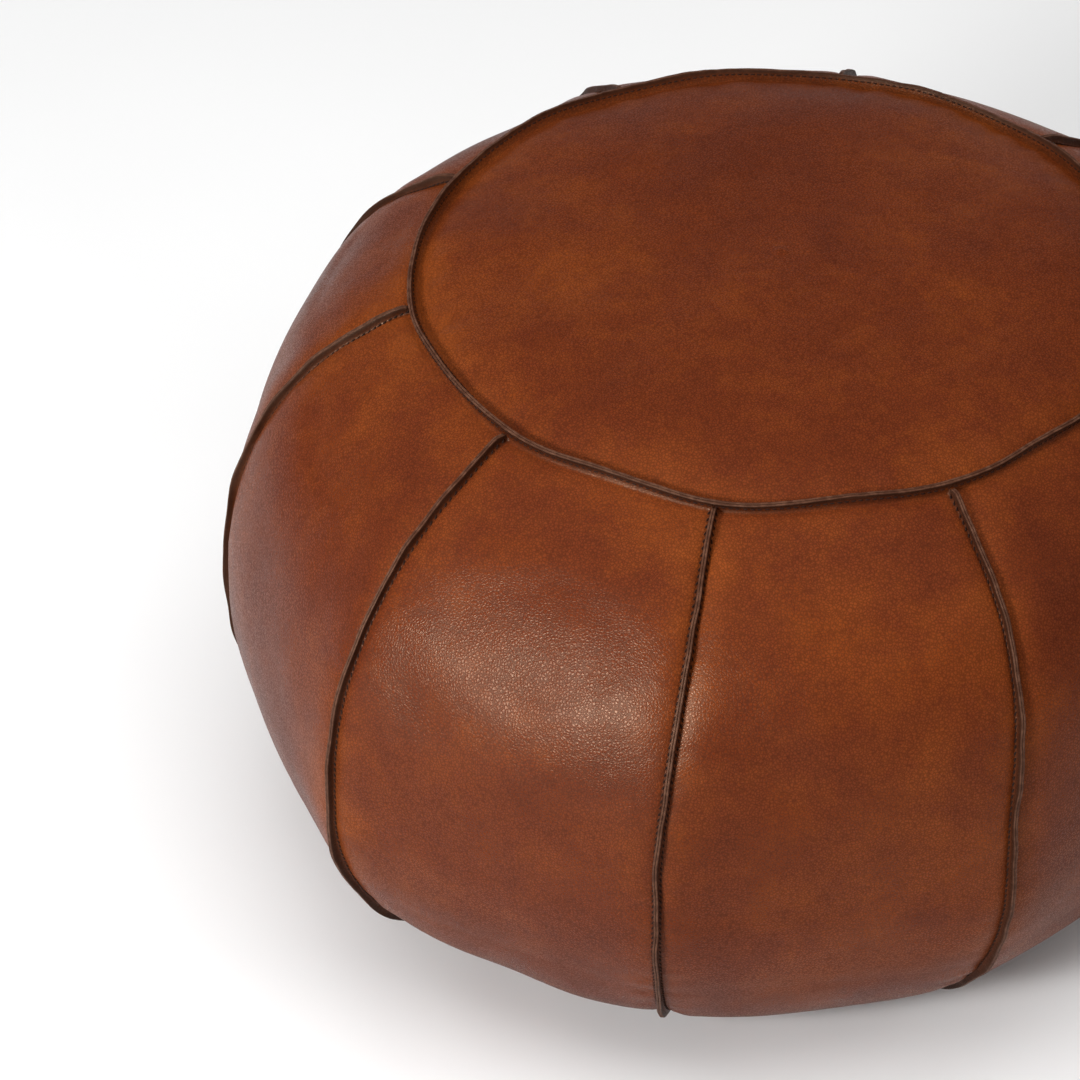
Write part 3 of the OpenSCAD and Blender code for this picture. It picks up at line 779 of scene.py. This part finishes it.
def zip_coil(node, sg):
    """A nylon coil: a squashed spiral with the rod's length and place."""
    lo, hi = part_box(node)
    x0, x1 = lo[0] / MM, hi[0] / MM
    yc, zc = (lo[1] + hi[1]) / 2 / MM, (lo[2] + hi[2]) / 2 / MM
    ry, rz = (hi[1] - lo[1]) / 2 / MM - 0.24, (hi[2] - lo[2]) / 2 / MM - 0.22
    pitch, per = 1.5, 10
    turns = int((x1 - x0 - 2) / pitch)
    t = np.arange(turns * per) / per
    x = x0 + 0.6 + (t + (0.5 if sg > 0 else 0.0)) * pitch
    # the loops' heads reach almost to the middle, clear of the slider's web
    cs = -sg * np.cos(2 * np.pi * t)
    amp = np.where(cs * -sg > 0, abs(yc - BASE_C[1]) - 0.72, ry)
    c = np.stack([x, yc + amp * cs, zc + rz * np.sin(2 * np.pi * t)], -1)
    tan = np.gradient(c, axis=0)
    tan /= np.linalg.norm(tan, axis=1)[:, None]
    e1 = np.cross(tan, np.tile([1.0, 0, 0], (len(c), 1)))
    e1 /= np.linalg.norm(e1, axis=1)[:, None]
    e2 = np.cross(tan, e1)
    ang = np.arange(5) * 2 * np.pi / 5
    V = c[:, None, :] + 0.24 * (np.cos(ang)[None, :, None] * e1[:, None, :] + np.sin(ang)[None, :, None] * e2[:, None, :])
    ob = make_mesh("coil_" + node.split("_")[-1], V.reshape(-1, 3), grid_faces(len(c), 5, wrap=True))
    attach(ob, "pouf")
    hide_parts(node)
    return ob


coils = [zip_coil("zip_coil_front", -1), zip_coil("zip_coil_rear", 1)]


# ---------------------------------------------------------------- materials
class Tree:
    """Short helpers over a material's node tree."""

    def __init__(self, name):
        self.m = bpy.data.materials.new(name)
        self.m.use_nodes = True
        self.t = self.m.node_tree
        self.t.nodes.clear()
        self.out = self.t.nodes.new("ShaderNodeOutputMaterial")
        self.bsdf = self.t.nodes.new("ShaderNodeBsdfPrincipled")
        self.t.links.new(self.bsdf.outputs[0], self.out.inputs[0])

    def new(self, kind, **props):
        n = self.t.nodes.new(kind)
        for k, v in props.items():
            setattr(n, k, v)
        return n

    def put(self, sock, val):
        if isinstance(val, bpy.types.NodeSocket):
            self.t.links.new(val, sock)
        else:
            sock.default_value = val

    def coord(self):
        return self.new("ShaderNodeTexCoord").outputs["Object"]

    def attr(self, name):
        return self.new("ShaderNodeAttribute", attribute_name=name, attribute_type="GEOMETRY").outputs["Fac"]

    def math(self, op, a, b=None, c=None, clamp=False):
        n = self.new("ShaderNodeMath", operation=op, use_clamp=clamp)
        self.put(n.inputs[0], a)
        if b is not None:
            self.put(n.inputs[1], b)
        if c is not None:
            self.put(n.inputs[2], c)
        return n.outputs[0]

    def mapping(self, v, scale=(1, 1, 1), loc=(0, 0, 0)):
        n = self.new("ShaderNodeMapping")
        self.put(n.inputs["Vector"], v)
        n.inputs["Scale"].default_value = scale
        n.inputs["Location"].default_value = loc
        return n.outputs[0]

    def noise(self, v, scale, detail=3.0, rough=0.5, dist=0.0):
        n = self.new("ShaderNodeTexNoise")
        self.put(n.inputs["Vector"], v)
        n.inputs["Scale"].default_value = scale
        n.inputs["Detail"].default_value = detail
        n.inputs["Roughness"].default_value = rough
        n.inputs["Distortion"].default_value = dist
        return n.outputs["Fac"]

    def voronoi(self, v, scale, feature="F1", out="Distance", rand=1.0):
        n = self.new("ShaderNodeTexVoronoi", feature=feature)
        self.put(n.inputs["Vector"], v)
        n.inputs["Scale"].default_value = scale
        n.inputs["Randomness"].default_value = rand
        return n.outputs[out]

    def ramp(self, v, stops, mode="LINEAR"):
        n = self.new("ShaderNodeValToRGB")
        n.color_ramp.interpolation = mode
        el = n.color_ramp.elements
        while len(el) > 1:
            el.remove(el[-1])
        el[0].position, el[0].color = stops[0]
        for pos, col in stops[1:]:
            e = el.new(pos)
            e.color = col
        self.put(n.inputs[0], v)
        return n.outputs["Color"]

    def range(self, v, a, b, c, d, smooth_step=False):
        n = self.new("ShaderNodeMapRange")
        if smooth_step:
            n.interpolation_type = "SMOOTHSTEP"
        self.put(n.inputs["Value"], v)
        for k, x in zip((1, 2, 3, 4), (a, b, c, d)):
            n.inputs[k].default_value = x
        return n.outputs[0]

    def mix(self, f, a, b, mode="MIX"):
        n = self.new("ShaderNodeMix", data_type="RGBA", blend_type=mode)
        self.put(n.inputs[0], f)
        self.put(n.inputs[6], a)
        self.put(n.inputs[7], b)
        return n.outputs[2]

    def bump(self, h, strength, dist, normal=None):
        n = self.new("ShaderNodeBump")
        n.inputs["Strength"].default_value = strength
        n.inputs["Distance"].default_value = dist
        self.put(n.inputs["Height"], h)
        if normal is not None:
            self.put(n.inputs["Normal"], normal)
        return n.outputs[0]


def rgb(r, g, b):
    return (r, g, b, 1.0)


def leather():
    t = Tree("leather_tan")
    co = t.coord()
    fin, raw, near = t.attr("fin"), t.attr("raw"), t.attr("near")
    arc, lr = t.attr("arc"), t.attr("lr")
    # two-tone hand dye: redder and darker in soft clouds; the more orange tone by the seams is painted warm bounce
    # light
    cloud = t.noise(co, 5.0, 3.0, 0.55, 0.4)
    patch = t.noise(co, 19.0, 5.0, 0.62, 0.6)
    small = t.noise(co, 70.0, 6.0, 0.72)
    speck = t.noise(co, 900.0, 2.0, 0.6)
    # painted warm bounce light: more orange colour within 34 mm of a seam
    seam_painted_bounce = t.range(near, 0.0, 34.0, 1.0, 0.0, True)
    f = t.math("MULTIPLY", cloud, 0.62)
    f = t.math("MULTIPLY_ADD", patch, 0.38, f)
    f = t.math("MULTIPLY_ADD", small, 0.34, f)
    f = t.math("MULTIPLY_ADD", seam_painted_bounce, 0.11, f)
    tone = t.range(f, 0.545, 0.88, 0.0, 1.0)
    col = t.ramp(tone, [(0.0, rgb(0.096, 0.0175, 0.0066)), (0.35, rgb(0.120, 0.0225, 0.0070)), (0.7, rgb(0.158, 0.0325, 0.0074)), (1.0, rgb(0.198, 0.0435, 0.0084))])
    col = t.mix(t.range(speck, 0.35, 0.75, 0.0, 0.20), col, rgb(0.235, 0.060, 0.014), "MIX")
    # the grain's valleys are darker in colour; painted shade darkens the grooves beside the seams
    wn = t.new("ShaderNodeTexNoise")
    t.put(wn.inputs["Vector"], co)
    wn.inputs["Scale"].default_value = 700.0
    wn.inputs["Detail"].default_value = 1.0
    warp = t.new("ShaderNodeVectorMath", operation="MULTIPLY_ADD")
    t.put(warp.inputs[0], wn.outputs["Color"])
    warp.inputs[1].default_value = (0.0011, 0.0011, 0.0011)
    t.put(warp.inputs[2], co)
    warp = warp.outputs[0]
    pore = t.range(t.voronoi(warp, 600.0, "DISTANCE_TO_EDGE"), 0.0, 0.24, 0.60, 1.05)
    # painted shade in the grooves: colour darkened within 4 mm of a seam or the rim
    groove_painted_shade = t.range(near, 0.0, 4.0, 0.55, 1.0, True)
    shade = t.math("MULTIPLY", pore, groove_painted_shade)
    tint = t.new("ShaderNodeCombineColor")
    for k in range(3):
        t.put(tint.inputs[k], shade)
    col = t.mix(1.0, col, tint.outputs[0], "MULTIPLY")
    # burnished dark edges, with painted shade on the side fins' flanks and at their foot
    brk = t.noise(co, 260.0, 3.0, 0.6)
    edge = t.math("MULTIPLY", fin, t.range(brk, 0.25, 0.55, 0.85, 1.0))
    # dark edge dye colour, dark enough to stand for painted shade on the fin flanks
    edge_dye_and_shade_col = t.mix(t.range(brk, 0.35, 0.7, 0.0, 1.0), rgb(0.022, 0.0070, 0.0036), rgb(0.044, 0.0140, 0.0066))
    col = t.mix(edge, col, edge_dye_and_shade_col)
    pale = t.mix(t.range(brk, 0.42, 0.62, 0.0, 1.0), rgb(0.072, 0.028, 0.0160), rgb(0.130, 0.058, 0.0350))
    col = t.mix(t.math("MULTIPLY", raw, 0.75), col, pale)
    t.put(t.bsdf.inputs["Base Color"], col)
    rough = t.range(t.noise(co, 26.0, 3.0), 0.3, 0.7, 0.27, 0.35)
    rough = t.math("ADD", rough, t.math("MULTIPLY", fin, 0.15))
    # the valleys of the grain are duller than the rubbed tops
    rough = t.math("MULTIPLY_ADD", t.math("SUBTRACT", 1.0, pore), 0.45, rough)
    t.put(t.bsdf.inputs["Roughness"], rough)
    t.bsdf.inputs["Specular IOR Level"].default_value = 0.10
    t.bsdf.inputs["Specular Tint"].default_value = rgb(1.0, 0.80, 0.58)
    # pebble grain about two millimetres across, over finer pores
    grain = t.range(t.voronoi(warp, 600.0, "DISTANCE_TO_EDGE"), 0.0, 0.34, 0.0, 1.0, True)
    grain2 = t.noise(co, 1500.0, 2.0, 0.6)
    g = t.math("MULTIPLY_ADD", grain2, 0.5, grain)
    g = t.math("MULTIPLY", g, t.range(t.noise(co, 60.0, 2.0), 0.3, 0.7, 0.6, 1.15))
    body = t.math("SUBTRACT", 1.0, fin)
    g = t.math("MULTIPLY", g, t.math("MULTIPLY_ADD", body, 0.85, 0.15))
    n1 = t.bump(g, 0.36, 0.00028)
    # broad softness and short creases that run out of the seams
    soft = t.noise(co, 42.0, 3.0, 0.5)
    n2 = t.bump(soft, 0.25, 0.0016, n1)
    cr_v = t.new("ShaderNodeCombineXYZ")
    slope = t.math("MULTIPLY_ADD", t.math("ABSOLUTE", lr), 0.75, arc)
    t.put(cr_v.inputs[0], t.math("MULTIPLY", slope, 0.16))
    t.put(cr_v.inputs[1], t.math("MULTIPLY", lr, 0.028))
    crease = t.noise(cr_v.outputs[0], 1.6, 2.0, 0.55, 0.3)
    fine_v = t.new("ShaderNodeCombineXYZ")
    t.put(fine_v.inputs[0], t.math("MULTIPLY", t.math("MULTIPLY_ADD", t.math("ABSOLUTE", lr), 1.15, arc), 0.40))
    t.put(fine_v.inputs[1], t.math("MULTIPLY", lr, 0.045))
    fine = t.noise(fine_v.outputs[0], 1.5, 3.0, 0.6, 0.5)
    fine = t.math("MULTIPLY", t.math("MULTIPLY", fine, t.range(near, 1.0, 20.0, 1.0, 0.0, True)), t.range(arc, 290.0, 390.0, 0.0, 1.0, True))
    zone = t.math("MULTIPLY", t.range(near, 1.5, 30.0, 1.0, 0.0, True), body)
    low = t.range(arc, 250.0, 420.0, 0.25, 1.0, True)
    crease = t.math("MULTIPLY", t.math("MULTIPLY", crease, zone), low)
    # none on the middle line of a gore, where the creases of its two seams would meet in a step
    aside = t.range(t.math("ABSOLUTE", lr), 30.0, 54.0, 1.0, 0.0, True)
    fine = t.math("MULTIPLY", t.math("MULTIPLY", fine, body), aside)
    n3 = t.bump(fine, 0.9, 0.0030, t.bump(t.math("MULTIPLY", crease, aside), 0.35, 0.0024, n2))
    rag = t.noise(co, 520.0, 3.0, 0.7)
    n4 = t.bump(t.math("MULTIPLY", rag, t.math("MAXIMUM", fin, raw)), 0.5, 0.0007, n3)
    t.put(t.bsdf.inputs["Normal"], n4)
    return t.m


def thread():
    t = Tree("thread_brown")
    co = t.coord()
    w = t.noise(co, 1400.0, 2.0)
    t.put(t.bsdf.inputs["Base Color"], t.ramp(w, [(0.3, rgb(0.010, 0.0040, 0.0025)), (0.75, rgb(0.032, 0.0120, 0.0065))]))
    t.put(t.bsdf.inputs["Roughness"], t.range(w, 0.3, 0.7, 0.7, 0.85))
    t.bsdf.inputs["Specular IOR Level"].default_value = 0.1
    wv = t.new("ShaderNodeTexWave", wave_type="BANDS", bands_direction="DIAGONAL")
    t.put(wv.inputs["Vector"], co)
    wv.inputs["Scale"].default_value = 900.0
    wv.inputs["Distortion"].default_value = 2.0
    t.put(t.bsdf.inputs["Normal"], t.bump(wv.outputs["Fac"], 0.5, 0.0002))
    return t.m


def cloth(name, a, b, scale, rough=0.85, weave=0.00025):
    """A plain weave: threads over and under, with small slubs."""
    t = Tree(name)
    co = t.coord()
    sx = t.new("ShaderNodeSeparateXYZ")
    t.put(sx.inputs[0], co)
    wx = t.math("SINE", t.math("MULTIPLY", t.math("ADD", sx.outputs[0], sx.outputs[2]), scale))
    wy = t.math("SINE", t.math("MULTIPLY", t.math("ADD", sx.outputs[1], sx.outputs[2]), scale))
    w = t.math("MULTIPLY", wx, wy)
    slub = t.noise(co, 140.0, 3.0, 0.6)
    t.put(t.bsdf.inputs["Base Color"], t.mix(t.range(t.math("MULTIPLY_ADD", w, 0.25, slub), 0.2, 0.9, 0.0, 1.0), a, b))
    t.bsdf.inputs["Roughness"].default_value = rough
    t.put(t.bsdf.inputs["Normal"], t.bump(t.math("MULTIPLY_ADD", slub, 0.6, w), 0.6, weave))
    return t.m


def wool():
    t = Tree("cotton_wadding")
    co = t.coord()
    n = t.noise(co, 60.0, 5.0, 0.7, 1.0)
    t.put(t.bsdf.inputs["Base Color"], t.ramp(n, [(0.3, rgb(0.72, 0.69, 0.62)), (0.7, rgb(0.88, 0.86, 0.80))]))
    t.bsdf.inputs["Roughness"].default_value = 0.95
    t.put(t.bsdf.inputs["Normal"], t.bump(n, 0.8, 0.004))
    return t.m


def brass():
    t = Tree("aged_brass")
    co = t.coord()
    n = t.noise(co, 320.0, 4.0, 0.65)
    wear = t.noise(co, 1500.0, 2.0, 0.6)
    t.put(t.bsdf.inputs["Base Color"], t.ramp(n, [(0.3, rgb(0.66, 0.39, 0.15)), (0.5, rgb(0.75, 0.48, 0.20)), (0.72, rgb(0.80, 0.55, 0.26))]))
    t.bsdf.inputs["Metallic"].default_value = 1.0
    t.put(t.bsdf.inputs["Roughness"], t.range(wear, 0.3, 0.7, 0.28, 0.48))
    t.put(t.bsdf.inputs["Normal"], t.bump(wear, 0.25, 0.0001))
    return t.m


def nylon():
    t = Tree("brown_nylon")
    co = t.coord()
    n = t.noise(co, 600.0, 2.0)
    t.put(t.bsdf.inputs["Base Color"], t.ramp(n, [(0.3, rgb(0.030, 0.016, 0.010)), (0.7, rgb(0.055, 0.030, 0.018))]))
    t.bsdf.inputs["Roughness"].default_value = 0.35
    return t.m


M_LEATHER, M_THREAD, M_BRASS, M_NYLON = leather(), thread(), brass(), nylon()
M_TAPE = cloth("zip_tape_weave", rgb(0.030, 0.015, 0.009), rgb(0.065, 0.034, 0.020), 2 * math.pi / 0.0009, 0.8, 0.00015)
M_LINER = cloth("cotton_cloth", rgb(0.55, 0.50, 0.40), rgb(0.78, 0.74, 0.64), 2 * math.pi / 0.0012)
M_WOOL = wool()
for ob in gores + [top] + bases:
    ob.data.materials.append(M_LEATHER)
for ob in (st_side, st_top, st_base, st_zip):
    ob.data.materials.append(M_THREAD)
for ob in coils:
    ob.data.materials.append(M_NYLON)
liner.data.materials.append(M_LINER)
wadding.data.materials.append(M_WOOL)


def dress(node, mat):
    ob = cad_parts[node]
    if not ob.material_slots:
        ob.data.materials.append(mat)
    for sl in ob.material_slots:
        sl.link = "OBJECT"
        sl.material = mat


for node in ("zip_tape_front", "zip_tape_rear"):
    dress(node, M_TAPE)
for node in ("zip_slider", "zip_pull_tab", "zip_top_stops", "zip_bottom_stop"):
    dress(node, M_BRASS)

# ---------------------------------------------------------------- floor, light, camera
def floor():
    n = 40
    s = np.linspace(-9000, 9000, n)
    X, Y = np.meshgrid(s, s)
    V = np.stack([X, Y, X * 0], -1).reshape(-1, 3)
    ob = make_mesh("floor", V, grid_faces(n, n))
    t = Tree("floor_pale")
    co = t.coord()
    t.put(t.bsdf.inputs["Base Color"], t.ramp(t.noise(co, 2.0, 2.0), [(0.3, rgb(0.83, 0.83, 0.83)), (0.7, rgb(0.86, 0.86, 0.86))]))
    t.bsdf.inputs["Roughness"].default_value = 0.9
    ob.data.materials.append(t.m)
    return ob


floor()
sc = bpy.context.scene
world = bpy.data.worlds.new("studio")
sc.world = world
world.use_nodes = True
bg = world.node_tree.nodes["Background"]
bg.inputs[0].default_value = (1.0, 1.0, 1.0, 1.0)
bg.inputs[1].default_value = 0.05


def area(name, az, el, dist, size, power, target=(0, 0, 0.16), color=(1, 1, 1)):
    """A softbox az degrees round from the front (-Y) toward -X, el above the floor."""
    a, e = math.radians(az), math.radians(el)
    d = Vector((-math.sin(a) * math.cos(e), -math.cos(a) * math.cos(e), math.sin(e)))
    L = bpy.data.lights.new(name, "AREA")
    L.shape = "RECTANGLE"
    L.size, L.size_y = size
    L.energy = power
    L.color = color
    ob = bpy.data.objects.new(name, L)
    ob.location = Vector(target) + d * dist
    ob.rotation_mode = "QUATERNION"
    ob.rotation_quaternion = (-d).to_track_quat("-Z", "Y")
    sc.collection.objects.link(ob)
    return ob


area("key", 37.5, 25, 2.6, (0.60, 0.60), 52)
shine = area("shine", 36, 20, 2.6, (0.80, 0.80), 150)
shine.visible_diffuse = False
# the wide fills only lift the shadows, so they stay out of the gloss
for lamp in (area("top", 10, 86, 3.4, (3.4, 3.4), 106),
             area("right", -72, 36, 3.2, (1.8, 1.8), 25),
             area("left", 98, 42, 3.2, (1.8, 1.8), 21)):
    lamp.visible_glossy = False
area("back", 176, 13, 3.2, (3.6, 1.0), 5)
for ob in [o for o in sc.objects if o.type == "LIGHT"]:
    ob.visible_camera = False

cam_d = bpy.data.cameras.new("camera")
cam_d.sensor_width = 36.0
cam_d.lens = 194.5
cam = bpy.data.objects.new("camera", cam_d)
sc.collection.objects.link(cam)
E = math.radians(38.71)
TARGET = Vector((BASE_C[0] * MM, BASE_C[1] * MM, 0.1346))
DIST = 3.2687
back = Vector((0, -math.cos(E), math.sin(E)))
cam.location = TARGET + back * DIST
cam.rotation_mode = "QUATERNION"
aim = (-back).to_track_quat("-Z", "Y")
# the pouf sits right of the middle of the picture: turn the camera a little
F_PX = 194.5 / 36.0 * 1080.0
dx, dy = (750.2 - 540.0) / F_PX, (560.0 - 540.0) / F_PX
right, up = Vector((1, 0, 0)), Vector((0, math.sin(E), math.cos(E)))
look = (-back) - right * dx + up * dy
q = look.normalized().to_track_quat("-Z", "Y")
cam.rotation_quaternion = q
cam_d.clip_start, cam_d.clip_end = 0.1, 60.0
sc.camera = cam
sc.view_settings.view_transform = "Standard"
sc.view_settings.look = "None"
